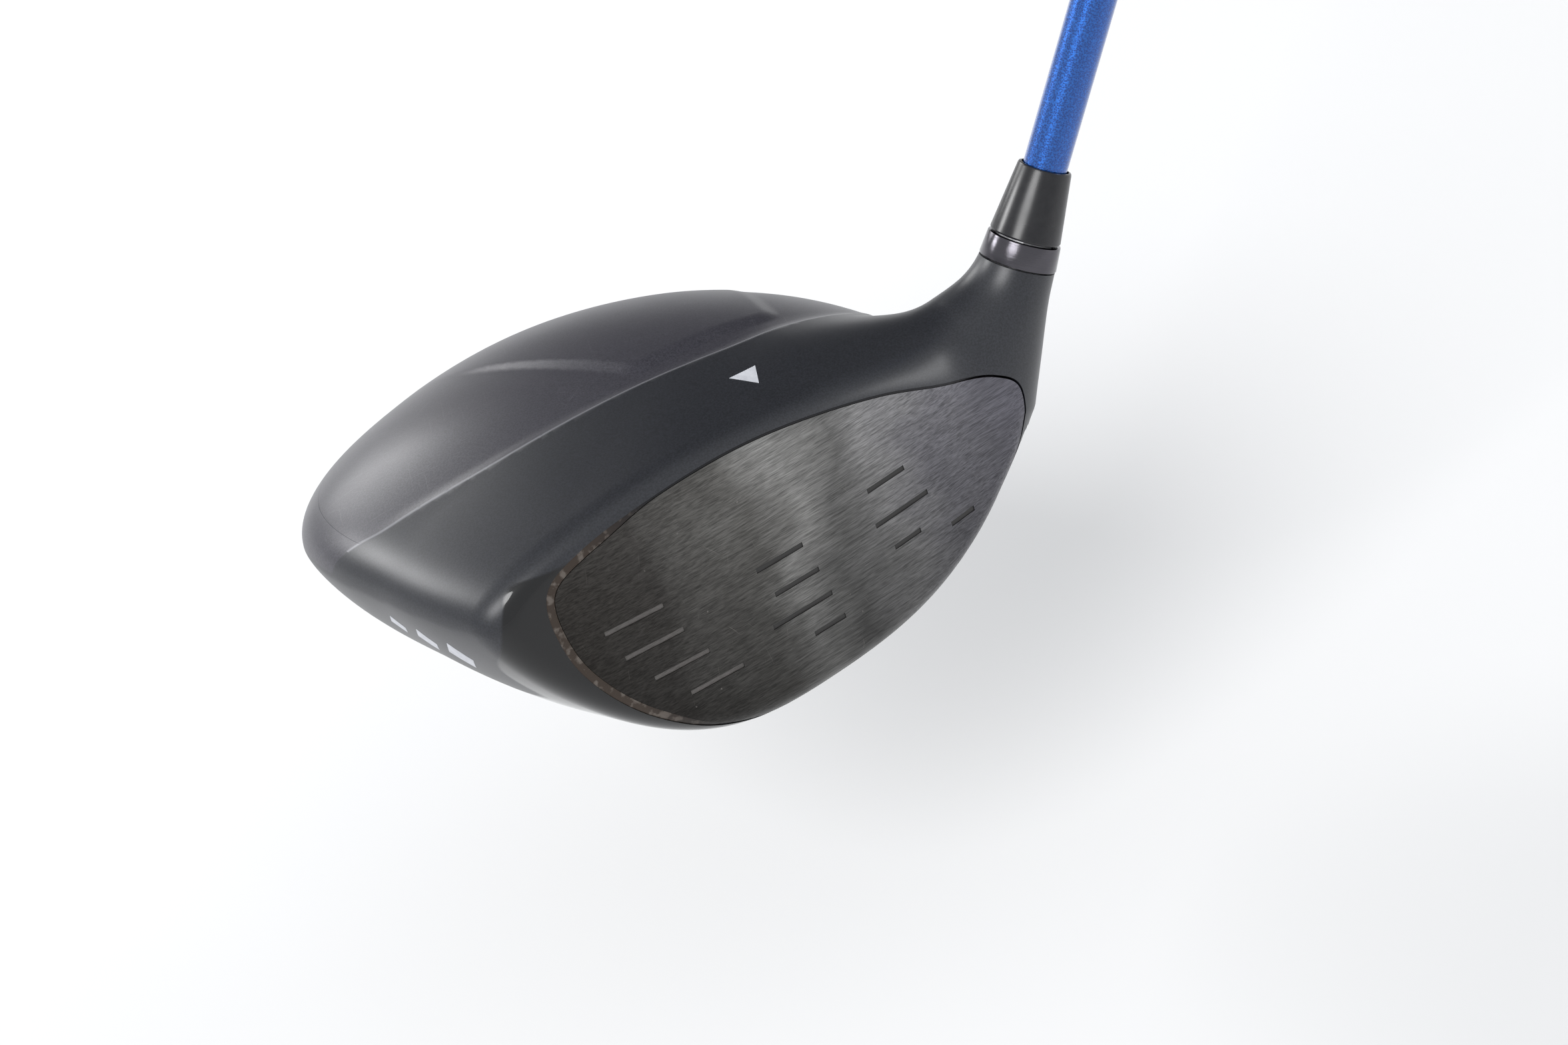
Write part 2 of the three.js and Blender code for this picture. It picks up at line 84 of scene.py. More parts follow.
# ---- the head's form: negative inside, about millimetres near the surface -
def smooth_max(a, b, k):
    h = np.maximum(k - np.abs(a - b), 0) / k
    return np.maximum(a, b) + h * h * k / 4


def smooth_min(a, b, k):
    return -smooth_max(-a, -b, k)


def ease(x):
    t = np.clip(x, 0, 1)
    return t * t * (3 - 2 * t)


def catmull_rom(a, b, c, d, f):
    """A smooth curve's value between b and c, at the share f."""
    bend = f * (f * (3 * (b - c) + d - a) + (2 * a - 5 * b + 4 * c - d)) + (c - a)
    return b + 0.5 * f * bend


def plan_radius(angle):
    """The plan outline: a smooth closed curve through the radii given every 30 degrees."""
    radii = np.array(PLAN_RADII)
    place = np.mod(angle / (2 * math.pi), 1) * len(radii)
    i = np.floor(place).astype(int)
    f = place - i
    a, b, c, d = (radii[(i + step) % len(radii)] for step in (-1, 0, 1, 2))
    return catmull_rom(a, b, c, d, f)


def spline(points, count):
    """Evenly stepped Catmull-Rom points through a row of plan points."""
    p = np.array(points, float)
    ends = np.vstack([2 * p[0] - p[1], p, 2 * p[-1] - p[-2]])
    t = np.linspace(0, len(p) - 1, count)
    i = np.minimum(t.astype(int), len(p) - 2)
    f = (t - i)[:, None]
    a, b, c, d = (ends[i + step] for step in range(4))
    return catmull_rom(a, b, c, d, f)


CREASE_LINE = spline(sorted(CREASE), 80)


def behind_crease(x, y):
    """How far back from the crease a plan position lies."""
    return y - np.interp(x, CREASE_LINE[:, 0], CREASE_LINE[:, 1])


def tail_fade(y):
    """1 at the front of the crown, falling to 0 where it becomes one smooth surface."""
    return 1 - ease((y - PLATEAU["fade"]) / (PLATEAU["gone"] - PLATEAU["fade"]))


def plateau(x, y):
    """1 on the raised middle of the crown, 0 off it."""
    back = y - PLATEAU["front"]
    from_toe = x - (PLATEAU["toe_x"] + PLATEAU["toe_lean"] * back)
    from_heel = PLATEAU["heel_x"] + PLATEAU["heel_lean"] * back - x
    sides = smooth_min(from_toe, from_heel, PLATEAU["corner"])
    inside = smooth_min(sides, back, PLATEAU["corner"])
    return ease(inside / PLATEAU["ramp"] + 0.5) * tail_fade(y)


def crown_relief(x, y):
    """The crown panel sits a little low behind the crease, apart from its plateau."""
    sunk = 1 - (1 - np.clip(behind_crease(x, y) / RECESS["width"], 0, 1)) ** 2
    return -RECESS["depth"] * sunk * tail_fade(y) * (1 - plateau(x, y))


def body_form(p):
    x, y, z = p[..., 0], p[..., 1], p[..., 2]
    r = np.hypot(x, y)
    rim = RIM["height"] + RIM["slope_x"] * x + RIM["slope_y"] * y
    up = z >= rim
    rise = CROWN["rise"] + CROWN["slope_x"] * x + CROWN["slope_y"] * y
    reach = np.maximum(np.where(up, rise, rim + SOLE["sink"]), 3)
    plan_power = np.where(up, CROWN["plan"], SOLE["plan"])
    lift_power = np.where(up, CROWN["up"], SOLE["down"])
    plan = (r / plan_radius(np.arctan2(y, x))) ** plan_power
    lift = (np.abs(z - rim) / reach) ** lift_power
    size = np.maximum((plan + lift + 1e-12) ** (2 / (plan_power + lift_power)), 1e-3)
    relief = np.where(up, crown_relief(x, y) * ease(lift), 0)
    return np.hypot(r, z - rim) * (1 - 1 / size) - relief


def face_form(p):
    x, y, z = (p[..., i] - FACE["place"][i] for i in range(3))
    loft = math.radians(FACE["loft"])
    front = z * math.tan(loft) + x * x / (2 * FACE["bulge"]) + z * z / (2 * FACE["roll"])
    return (front - y) * math.cos(loft)


def saddle_form(p):
    inner = np.array(SADDLE["inner"], float)
    bar = np.array(SADDLE["outer"], float) - inner
    share = np.clip((p - inner) @ bar / (bar @ bar), 0, 1)
    r = SADDLE["r_inner"] + (SADDLE["r_outer"] - SADDLE["r_inner"]) * share
    return np.linalg.norm(p - inner - share[..., None] * bar, axis=-1) - r


def hosel_form(p):
    off = p - AXIS_FOOT
    t = off @ SHAFT_DIR
    r = np.sqrt(np.maximum((off * off).sum(-1) - t * t, 0))
    cone = HOSEL["cone"] * (HOSEL["top"] - t) - HOSEL["taper"] * np.maximum(HOSEL["fade"] - t, 0)
    return r - HOSEL["r"] - cone


def head_form(p):
    body = smooth_min(body_form(p), saddle_form(p), SADDLE["blend"])
    return smooth_max(body, face_form(p), FACE["edge"])


def whole_form(p):
    """The head with its hosel, which runs on past its top so that a flat cut can end it."""
    return smooth_min(head_form(p), hosel_form(p), HOSEL["blend"])


def slope(form, p, step=0.05):
    shifts = np.eye(3) * step
    return np.stack([form(p + s) - form(p - s) for s in shifts], -1) / (2 * step)


def normals(form, p):
    g = slope(form, p)
    return g / np.maximum(np.linalg.norm(g, axis=-1, keepdims=True), 1e-9)


def draw_onto(form, p, rounds, reach=1.5):
    """Moves points onto form = 0 along its slope."""
    for _ in range(rounds):
        g = slope(form, p)
        step = form(p)[:, None] * g / np.maximum((g * g).sum(-1, keepdims=True), 1e-6)
        length = np.linalg.norm(step, axis=-1, keepdims=True)
        p = p - step * np.minimum(1, reach / np.maximum(length, 1e-9))
    return p


# ---- meshes ----------------------------------------------------------------
def make_object(name, points, faces):
    """A mesh object from points in millimetres."""
    mesh = bpy.data.meshes.new(name)
    mesh.from_pydata((np.asarray(points) * MM).tolist(), [], [list(f) for f in faces])
    mesh.validate()
    made = bpy.data.objects.new(name, mesh)
    bpy.context.scene.collection.objects.link(made)
    return made


CREASE_LOW = RIM["height"] + 8        # the crease is a sharp edge only above this height
CREASE_TOE = -66.0                    # and only on the heel side of this


def snap_to_crease(form, points, reach):
    """Moves points near the crease onto it, so that its edge is clean."""
    off = behind_crease(points[:, 0], points[:, 1])
    near = (np.abs(off) < reach) & (points[:, 2] > CREASE_LOW) & (points[:, 0] > CREASE_TOE)
    moved = points[near]
    moved[:, 1] -= off[near]
    for _ in range(4):
        lift = (form(moved + (0, 0, 0.05)) - form(moved - (0, 0, 0.05))) / 0.1
        moved[:, 2] -= np.clip(form(moved) / np.maximum(lift, 0.2), -0.5, 0.5)
    points[near] = moved
    return points


def skin(name, form, low, high, step, crease_reach=0.0):
    """A closed mesh of form = 0: one point in each grid cell that the surface crosses."""
    axes = [np.arange(a, b + step, step) for a, b in zip(low, high)]
    grid = np.stack(np.meshgrid(*axes, indexing="ij"), -1)
    inside = form(grid) < 0
    corners = [inside[i:inside.shape[0] - 1 + i, j:inside.shape[1] - 1 + j, k:inside.shape[2] - 1 + k]
               for i in (0, 1) for j in (0, 1) for k in (0, 1)]
    count = sum(c.astype(np.int8) for c in corners)
    crossed = (count > 0) & (count < 8)
    index = np.full(crossed.shape, -1)
    index[crossed] = np.arange(crossed.sum())
    points = np.array(low) + (np.argwhere(crossed) + 0.5) * step
    faces = []
    for axis in range(3):
        u, v = [a for a in range(3) if a != axis]
        lower = np.take(inside, range(inside.shape[axis] - 1), axis)
        upper = np.take(inside, range(1, inside.shape[axis]), axis)
        where = np.argwhere(lower != upper)
        where = where[(where[:, u] > 0) & (where[:, v] > 0)
                      & (where[:, u] < crossed.shape[u]) & (where[:, v] < crossed.shape[v])]
        quad = []
        for du, dv in ((1, 1), (0, 1), (0, 0), (1, 0)):
            cell = where.copy()
            cell[:, u] -= du
            cell[:, v] -= dv
            quad.append(index[tuple(cell.T)])
        quad = np.stack(quad, -1)
        leaves = lower[tuple(where.T)] == (axis != 1)
        faces.append(np.where(leaves[:, None], quad, quad[:, ::-1]))
    faces = np.concatenate(faces)
    points = draw_onto(form, points, 4)
    for _ in range(2):
        centre = points[faces].mean(1)
        total = np.zeros_like(points)
        share = np.zeros(len(points))
        for k in range(4):
            np.add.at(total, faces[:, k], centre)
            np.add.at(share, faces[:, k], 1)
        points = draw_onto(form, total / share[:, None], 3)
    if crease_reach:
        points = snap_to_crease(form, points, crease_reach)
    return make_object(name, points, faces)


def frame_at(place, direction):
    """A millimetre frame whose Z is the direction, as CAD frames are turned."""
    turn = Vector((0, 0, 1)).rotation_difference(Vector(direction)).to_matrix()
    return np.array(turn), np.array(place, float)


def in_frame(points, where):
    turn, place = where
    return np.asarray(points, float) @ turn.T + place


def turned(name, profile, where, sides=FINE_SIDES):
    """A lathe piece: profile is (radius, height) pairs, and closes on the axis or on itself."""
    ring = np.arange(sides) * 2 * math.pi / sides
    points, rows = [], []
    closed = profile[0] == profile[-1]
    for r, h in profile[:-1] if closed else profile:
        first = len(points)
        if r < 1e-6:
            points.append((0, 0, h))
            rows.append([first] * sides)
        else:
            points.extend((r * math.cos(a), r * math.sin(a), h) for a in ring)
            rows.append(list(range(first, first + sides)))
    if closed:
        rows.append(rows[0])
    faces = []
    for low, high in zip(rows, rows[1:]):
        for k in range(sides):
            corners = [low[k], low[(k + 1) % sides], high[(k + 1) % sides], high[k]]
            faces.append(list(dict.fromkeys(corners)))
    return make_object(name, in_frame(points, where), faces)


def rod(name, r, bottom, top, where, sides=FINE_SIDES):
    return turned(name, [(0, bottom), (r, bottom), (r, top), (0, top)], where, sides)


def prism(name, outline, bottom, top, where):
    """A closed outline drawn out along a frame's Z."""
    count = len(outline)
    points = [(x, y, h) for h in (bottom, top) for x, y in outline]
    sides = [(k, (k + 1) % count, count + (k + 1) % count, count + k) for k in range(count)]
    faces = [tuple(range(count))[::-1], tuple(range(count, 2 * count)), *sides]
    return make_object(name, in_frame(points, where), faces)


def combine(target, tool, how="DIFFERENCE", keep_tool=False):
    """Cuts or joins the target with the tool, for good."""
    modifier = target.modifiers.new("cut", "BOOLEAN")
    modifier.object = tool
    modifier.operation = how
    modifier.solver = "MANIFOLD"
    bpy.context.view_layer.update()
    graph = bpy.context.evaluated_depsgraph_get()
    result = bpy.data.meshes.new_from_object(target.evaluated_get(graph))
    target.modifiers.clear()
    target.data = result
    if not keep_tool:
        bpy.data.objects.remove(tool)
    return target


def copy_of(source, name):
    made = source.copy()
    made.data = source.data.copy()
    made.name = name
    bpy.context.scene.collection.objects.link(made)
    return made


# ---- outlines and cutting blocks -------------------------------------------
def closed_spline(points, count):
    p = np.array(points, float)
    t = np.arange(count) * len(p) / count
    i = t.astype(int)
    f = (t - i)[:, None]
    a, b, c, d = (p[(i + step) % len(p)] for step in (-1, 0, 1, 2))
    return catmull_rom(a, b, c, d, f)


def inset(outline, distance):
    """Moves a closed outline, listed anticlockwise, inwards."""
    along = np.roll(outline, -1, 0) - np.roll(outline, 1, 0)
    inward = np.stack([-along[:, 1], along[:, 0]], -1)
    return outline + distance * inward / np.linalg.norm(inward, axis=-1, keepdims=True)


def crown_outline():
    """The crown panel in plan: the crease in front, and a share of the plan outline behind."""
    front = CREASE_LINE
    limit = CROWN_REACH * plan_radius(np.arctan2(front[:, 1], front[:, 0]))
    front = front[np.hypot(*front.T) < limit]
    start = math.atan2(front[-1, 1], front[-1, 0])
    end = math.atan2(front[0, 1], front[0, 0])
    angles = np.linspace(start, end, 122)[1:-1]
    reach = CROWN_REACH * plan_radius(angles)
    back = np.stack([reach * np.cos(angles), reach * np.sin(angles)], -1)
    return np.vstack([front, back])


UPRIGHT = (np.eye(3), np.zeros(3))
LOFT = math.radians(FACE["loft"])
FACE_OUT = np.array([0, -math.cos(LOFT), math.sin(LOFT)])
FACE_UP = np.array([0, math.sin(LOFT), math.cos(LOFT)])
FACE_FRAME = (np.stack([np.array([1.0, 0, 0]), FACE_UP, FACE_OUT], -1), np.array(FACE["place"]))
SHAFT_FRAME = frame_at(AXIS_FOOT, SHAFT_DIR)
RIM_UP = np.array([-RIM["slope_x"], -RIM["slope_y"], 1]) / math.hypot(RIM["slope_x"], RIM["slope_y"], 1)
PLATE_OUTLINE = closed_spline(PLATE, 220)[::-1]
TALL = 90                             # reach of blocks that cut right through the head
WIDE = 200
ABOVE_RIM = 3                         # the crown's lowest edge, over the rim at the middle


def crown_block(name, shrink):
    """Only what lies above the rim belongs to the crown."""
    block = prism(name, inset(crown_outline(), shrink), 0, TALL, UPRIGHT)
    under = rod("under_rim", WIDE, -TALL, ABOVE_RIM, frame_at((0, 0, RIM["height"]), RIM_UP), 12)
    return combine(block, under)


def sole_block(name, shrink):
    where = frame_at((SOLE_PANEL["x"], SOLE_PANEL["y"], 0), (0, 0, 1))
    return rod(name, SOLE_PANEL["r"] - shrink, -10, 24, where, 160)


def face_block(name, shrink, depth=9):
    return prism(name, inset(PLATE_OUTLINE, shrink), -depth, 14, FACE_FRAME)


# ---- looks -----------------------------------------------------------------
def put(tree, socket, value):
    """Links a socket to an output, or gives it a value."""
    if isinstance(value, bpy.types.NodeSocket):
        tree.links.new(value, socket)
    elif isinstance(value, tuple) and len(value) == 3 and socket.type == "RGBA":
        socket.default_value = (*value, 1)
    else:
        socket.default_value = value


def add_node(tree, kind, inputs, **settings):
    made = tree.nodes.new(kind)
    for name, value in settings.items():
        setattr(made, name, value)
    for name, value in inputs.items():
        put(tree, made.inputs[name], value)
    return made


class Look:
    """A procedural material: helpers that add nodes, and a Principled shader at the end."""

    def __init__(self, name, **constants):
        self.material = bpy.data.materials.new(name)
        self.material.use_nodes = True
        self.tree = self.material.node_tree
        self.shader = self.tree.nodes["Principled BSDF"]
        self.place = self.tree.nodes.new("ShaderNodeTexCoord").outputs["Object"]
        self.set(**constants)

    def set(self, **values):
        for name, value in values.items():
            put(self.tree, self.shader.inputs[name.replace("_", " ")], value)

    def node(self, kind, inputs, **settings):
        return add_node(self.tree, kind, inputs, **settings)

    def stretched(self, scale, turn):
        """The place on the object, turned first and then stretched."""
        turned_place = self.node("ShaderNodeMapping", {"Vector": self.place, "Rotation": turn}).outputs[0]
        return self.node("ShaderNodeMapping", {"Vector": turned_place, "Scale": scale}).outputs[0]

    def noise(self, scale, detail=3.0, stretch=None, turn=(0, 0, 0)):
        vector = self.stretched(stretch, turn) if stretch else self.place
        inputs = {"Vector": vector, "Scale": scale, "Detail": detail}
        return self.node("ShaderNodeTexNoise", inputs).outputs["Fac"]

    def cells(self, scale):
        inputs = {"Vector": self.place, "Scale": scale}
        return self.node("ShaderNodeTexVoronoi", inputs).outputs["Distance"]

    def attribute(self, name):
        return self.node("ShaderNodeAttribute", {}, attribute_name=name).outputs["Fac"]

    def span(self, value, low, high, to_low=0.0, to_high=1.0):
        inputs = {"Value": value, "From Min": low, "From Max": high, "To Min": to_low, "To Max": to_high}
        return self.node("ShaderNodeMapRange", inputs).outputs["Result"]

    def maths(self, operation, a, b):
        return self.node("ShaderNodeMath", {0: a, 1: b}, operation=operation).outputs[0]

    def mix(self, share, a, b):
        return self.node("ShaderNodeMix", {0: share, 6: a, 7: b}, data_type="RGBA").outputs[2]

    def bump(self, height, strength, distance):
        inputs = {"Height": height, "Strength": strength, "Distance": distance}
        self.set(Normal=self.node("ShaderNodeBump", inputs).outputs[0])

    def scratches(self, turns, length, width, share):
        """Short straight scratches in a few directions: 1 on a scratch, 0 off it."""
        total = None
        for turn in turns:
            streak = self.noise(1, 1, stretch=(1 / length, 1 / width, 1 / length), turn=(0, 0, turn))
            mark = self.span(streak, share, share + 0.05)
            total = mark if total is None else self.maths("MAXIMUM", total, mark)
        return total

    def height(self):
        return self.node("ShaderNodeSeparateXYZ", {"Vector": self.place}).outputs["Z"]

    def across(self):
        return self.node("ShaderNodeSeparateXYZ", {"Vector": self.place}).outputs["X"]


# Width of the lighter line along the crease: worn paint and a painted highlight of its rounded edge.
CREASE_WEAR_AND_SHINE = (0.0, 0.0005)
PAINT_EDGE = (-0.0002, 0.0002)


def head_paint():
    """Satin paint, paler and purpler on the crown, lighter along the crease for worn paint and a painted
    highlight of its edge, and gloss black below.
    """
    look = Look("head_paint", Metallic=0.1, Coat_Weight=0.2, Coat_Roughness=0.34)
    flake = look.noise(3000, 2)
    grain = look.span(flake, 0.35, 0.65)
    on_crown = look.span(look.attribute("on_crown"), *PAINT_EDGE)
    band = look.mix(grain, (0.0105, 0.0115, 0.015), (0.021, 0.0225, 0.029))
    top = look.mix(grain, (0.026, 0.025, 0.033), (0.050, 0.048, 0.061))
    lines = look.scratches((0.5, 1.1, 2.0, 2.6), 0.02, 0.00013, 0.735)
    lines = look.maths("MULTIPLY", lines, look.span(on_crown, 0, 1, 0.06, 0.35))
    base = look.mix(lines, look.mix(on_crown, band, top), (0.17, 0.165, 0.18))
    # Lighter along the crease: worn paint, and a painted highlight that stands in for the shine of its
    # rounded edge.
    rubbed_and_shine = look.span(look.attribute("crease_off"), *CREASE_WEAR_AND_SHINE, 0.9, 0.0)
    base = look.mix(rubbed_and_shine, base, (0.20, 0.20, 0.22))
    gloss = look.span(look.attribute("gloss"), *PAINT_EDGE)
    look.set(Base_Color=look.mix(gloss, base, (0.003, 0.003, 0.0035)))
    rough = look.span(look.noise(35, 3), 0.3, 0.7, 0.36, 0.42)
    look.set(Roughness=look.maths("MULTIPLY", rough, look.span(gloss, 0, 1, 1.0, 0.14)))
    look.bump(look.maths("SUBTRACT", flake, lines), 0.05, 0.00004)
    return look.material


def woven_sole():
    """Clear-coated carbon cloth: square tows in a checker, with fibres along each."""
    look = Look("woven_sole", Coat_Weight=1.0, Coat_Roughness=0.05)
    flat = look.stretched((1, 1, 0), (0, 0, 0.785))
    tows = look.node("ShaderNodeTexChecker", {"Vector": flat, "Scale": 520})
    fibre_x = look.noise(1, 3, stretch=(300, 9000, 300), turn=(0, 0, 0.785))
    fibre_y = look.noise(1, 3, stretch=(9000, 300, 300), turn=(0, 0, 0.785))
    fibres = look.node("ShaderNodeMix", {0: tows.outputs["Fac"], 2: fibre_x, 3: fibre_y}).outputs[0]
    tow_colour = look.mix(tows.outputs["Fac"], (0.008, 0.008, 0.009), (0.022, 0.022, 0.024))
    shine = look.span(fibres, 0.35, 0.65, 0.0, 0.5)
    look.set(Base_Color=look.mix(shine, tow_colour, (0.045, 0.045, 0.047)))
    look.set(Roughness=look.span(fibres, 0.3, 0.7, 0.28, 0.42))
    look.bump(look.maths("ADD", fibres, tows.outputs["Fac"]), 0.12, 0.0001)
    return look.material


# Painted reflection: colour bands across the face, from toe to heel, stand in for the light the brushed
# metal reflects, dark at the toe with two bright stripes.
FACE_PAINTED_REFLECTIONS = ((0.0, (0.026, 0.024, 0.022)), (0.20, (0.036, 0.034, 0.032)), (0.36, (0.075, 0.073, 0.069)),
              (0.46, (0.155, 0.153, 0.148)), (0.56, (0.085, 0.084, 0.082)), (0.66, (0.150, 0.148, 0.148)),
              (0.80, (0.105, 0.103, 0.112)), (1.0, (0.085, 0.083, 0.098)))


def brushed_face():
    look = Look("brushed_face", Metallic=1.0)
    long_streaks = look.noise(1, 5, stretch=(110, 2600, 2600))
    fine_streaks = look.noise(1, 4, stretch=(420, 7000, 7000))
    patches = look.noise(55, 4)
    long_part = look.maths("MULTIPLY", long_streaks, 0.45)
    grain = look.maths("ADD", long_part, look.maths("MULTIPLY", fine_streaks, 0.55))
    warp = look.span(patches, 0.3, 0.7, -0.006, 0.006)
    # The painted reflection bands are laid across the face, a little wavy.
    place = look.span(look.maths("ADD", look.across(), warp), -0.052, 0.056)
    band = look.node("ShaderNodeValToRGB", {"Fac": place})
    ramp = band.color_ramp
    while len(ramp.elements) < len(FACE_PAINTED_REFLECTIONS):
        ramp.elements.new(0.5)
    for element, (position, colour) in zip(ramp.elements, FACE_PAINTED_REFLECTIONS):
        element.position = position
        element.color = (*colour, 1)
    # Painted reflection: the face is made lighter towards its top, where it reflects brighter light; the
    # brushing grain then varies it.
    level = look.span(look.height(), 0.008, 0.058, 0.6, 1.95)
    grain_and_painted_light = look.maths("MULTIPLY", look.span(grain, 0.38, 0.62, 0.62, 1.32), level)
    grain_and_painted_light = look.node("ShaderNodeCombineXYZ", {"X": grain_and_painted_light, "Y": grain_and_painted_light, "Z": grain_and_painted_light}).outputs[0]
    grained_painted_reflection = look.node("ShaderNodeVectorMath", {0: band.outputs["Color"], 1: grain_and_painted_light}, operation="MULTIPLY")
    lines = look.scratches((0.35, 0.9, 2.5), 0.009, 0.00012, 0.765)
    specks = look.span(look.noise(900, 2), 0.76, 0.80)
    marks = look.maths("MAXIMUM", look.maths("MULTIPLY", lines, 0.22), look.maths("MULTIPLY", specks, 0.4))
    colour = look.mix(marks, grained_painted_reflection.outputs[0], (0.32, 0.30, 0.28))
    look.set(Base_Color=colour)
    look.set(Roughness=look.span(grain, 0.38, 0.62, 0.44, 0.30))
    look.bump(grain, 0.25, 0.0001)
    return look.material


def weld_edge():
    look = Look("weld_edge", Metallic=0.7)
    grain = look.noise(1200, 5)
    worn = look.span(look.across(), -0.026, -0.040)
    fleck = look.maths("MULTIPLY", look.span(look.noise(500, 3), 0.52, 0.62), worn)
    dark = look.mix(worn, (0.020, 0.020, 0.022), (0.055, 0.042, 0.034))
    look.set(Base_Color=look.mix(fleck, dark, (0.14, 0.12, 0.105)))
    look.set(Roughness=look.span(grain, 0.3, 0.7, 0.3, 0.5))
    look.bump(grain, 0.3, 0.00008)
    return look.material


def score_paint():
    """The floor of a score line: grey with worn paint at the toe, dark elsewhere."""
    look = Look("score_floor", Metallic=0.6)
    grain = look.noise(1, 3, stretch=(500, 6000, 6000))
    toe = look.span(look.across(), -0.014, -0.022)
    light = look.mix(look.span(grain, 0.35, 0.65), (0.09, 0.085, 0.08), (0.14, 0.13, 0.125))
    look.set(Base_Color=look.mix(toe, (0.045, 0.044, 0.043), light))
    look.set(Roughness=look.span(grain, 0.35, 0.65, 0.45, 0.6))
    look.bump(grain, 0.2, 0.00005)
    return look.material


def shaft_paint():
    look = Look("shaft_paint", Metallic=0.75, Coat_Weight=1.0, Coat_Roughness=0.04)
    flake = look.cells(3000)
    look.set(Base_Color=look.mix(look.span(flake, 0.2, 0.8), (0.004, 0.045, 0.24), (0.010, 0.115, 0.46)))
    look.set(Roughness=look.span(flake, 0.2, 0.8, 0.20, 0.36))
    look.bump(flake, 0.25, 0.00004)
    return look.material


def plain_look(name, dark, light, rough, scale, strength, **constants):
    """Moulded plastic, rubber or machined metal: two close colours, a roughness span and a fine grain."""
    look = Look(name, **constants)
    grain = look.noise(scale, 4)
    look.set(Base_Color=look.mix(look.span(grain, 0.35, 0.65), dark, light))
    look.set(Roughness=look.span(look.noise(scale * 0.2, 3), 0.3, 0.7, *rough))
    look.bump(grain, strength, 0.00008)
    return look.material


def grip_rubber():
    """Soft black rubber, moulded with close round dimples."""
    look = Look("grip_rubber")
    dimples = look.span(look.cells(420), 0.12, 0.5)
    grain = look.noise(1500, 4)
    worn = look.span(grain, 0.35, 0.65)
    look.set(Base_Color=look.mix(worn, (0.011, 0.011, 0.012), (0.022, 0.022, 0.023)))
    look.set(Roughness=look.span(grain, 0.3, 0.7, 0.58, 0.78))
    look.bump(look.maths("ADD", dimples, look.maths("MULTIPLY", grain, 0.3)), 0.45, 0.0003)
    return look.material


LATHE_RINGS = 5000                    # scale of the fine rings on turned metal


def turned_metal(name, dark, light, rough, along):
    """Metal with fine lathe rings round the shaft axis."""
    look = Look(name, Metallic=1.0)
    aim = look.node("ShaderNodeVectorMath", {0: look.place, 1: tuple(along)}, operation="DOT_PRODUCT")
    rings = look.node("ShaderNodeTexNoise", {"W": look.maths("MULTIPLY", aim.outputs["Value"], LATHE_RINGS)},
                      noise_dimensions="1D").outputs["Fac"]
    look.set(Base_Color=look.mix(look.span(rings, 0.3, 0.7), dark, light))
    look.set(Roughness=look.span(rings, 0.3, 0.7, *rough))
    look.bump(rings, 0.2, 0.00005)
    return look.material


LOOKS = dict(
    paint=head_paint(), weave=woven_sole(), face=brushed_face(), shaft=shaft_paint(),
    weld=weld_edge(), score=score_paint(), grip=grip_rubber(),
    ferrule=plain_look("ferrule_plastic", (0.006, 0.006, 0.008), (0.010, 0.010, 0.012), (0.24, 0.32),
                       900, 0.03),
    ring=turned_metal("ring_metal", (0.055, 0.052, 0.06), (0.14, 0.135, 0.15), (0.10, 0.2), SHAFT_DIR),
    steel=turned_metal("steel", (0.35, 0.35, 0.36), (0.5, 0.5, 0.5), (0.25, 0.4), SHAFT_DIR),
    tungsten=plain_look("weight_metal", (0.03, 0.03, 0.033), (0.05, 0.05, 0.053), (0.3, 0.42), 700, 0.08,
                        Metallic=0.9),
    alloy=turned_metal("alloy", (0.5, 0.5, 0.52), (0.66, 0.66, 0.68), (0.3, 0.45), SHAFT_DIR),
    rubber=plain_look("rubber", (0.010, 0.010, 0.011), (0.020, 0.020, 0.021), (0.62, 0.8), 1500, 0.25),
    foam=plain_look("glue", (0.55, 0.46, 0.26), (0.72, 0.64, 0.42), (0.4, 0.7), 200, 0.5),
    tape=plain_look("tape", (0.55, 0.52, 0.42), (0.68, 0.65, 0.56), (0.75, 0.9), 900, 0.3),
    mark=plain_look("mark_paint", (0.50, 0.51, 0.55), (0.60, 0.61, 0.65), (0.5, 0.6), 700, 0.05),
)


# ---- the head --------------------------------------------------------------
HEAD_LOW = (-80, -47, -4)
HEAD_HIGH = (84, 82, 77)
HOSEL_SPARE = 5.0
LEDGES = dict(crown=6.0, sole=4.0)
PANEL = 1.6
COARSE_STEP = 2.2
TUBE = 7.7
SEAT = dict(bottom=12.0, top=14.5, hole=3.0, port=5.3, bore=5.95)
WEIGHT_PORT = dict(r=6.35, floor=-4.6, thread=3.25, thread_end=-10.4, boss=8.6, boss_end=-12.4)
WEIGHT_NAMES = ("toe", "heel", "rear")


def closed_form(p):
    """The outer form, ended a little above the hosel's top."""
    over = (p - AXIS_FOOT) @ SHAFT_DIR - HOSEL["top"] - HOSEL_SPARE
    return np.maximum(whole_form(p), over)


def inner_skin(name, depth):
    return skin(name, lambda p: head_form(p) + depth, HEAD_LOW, HEAD_HIGH, COARSE_STEP)


def dress(piece, name, slot, body, *looks):
    """Names a finished piece and gives it its looks and its body. The slot is not used."""
    piece.name = name
    piece.data.materials.clear()
    for look in looks:
        piece.data.materials.append(LOOKS[look])
    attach(piece, body)
    return piece


def read_points(items, what):
    """A place or direction of every vertex or face, one row each."""
    values = np.zeros(len(items) * 3)
    items.foreach_get(what, values)
    return values.reshape(-1, 3)


ON_FORM = 0.06                        # a face this near the form lies on it
FACING_OUT = 0.75                     # and its direction is this close to the form's


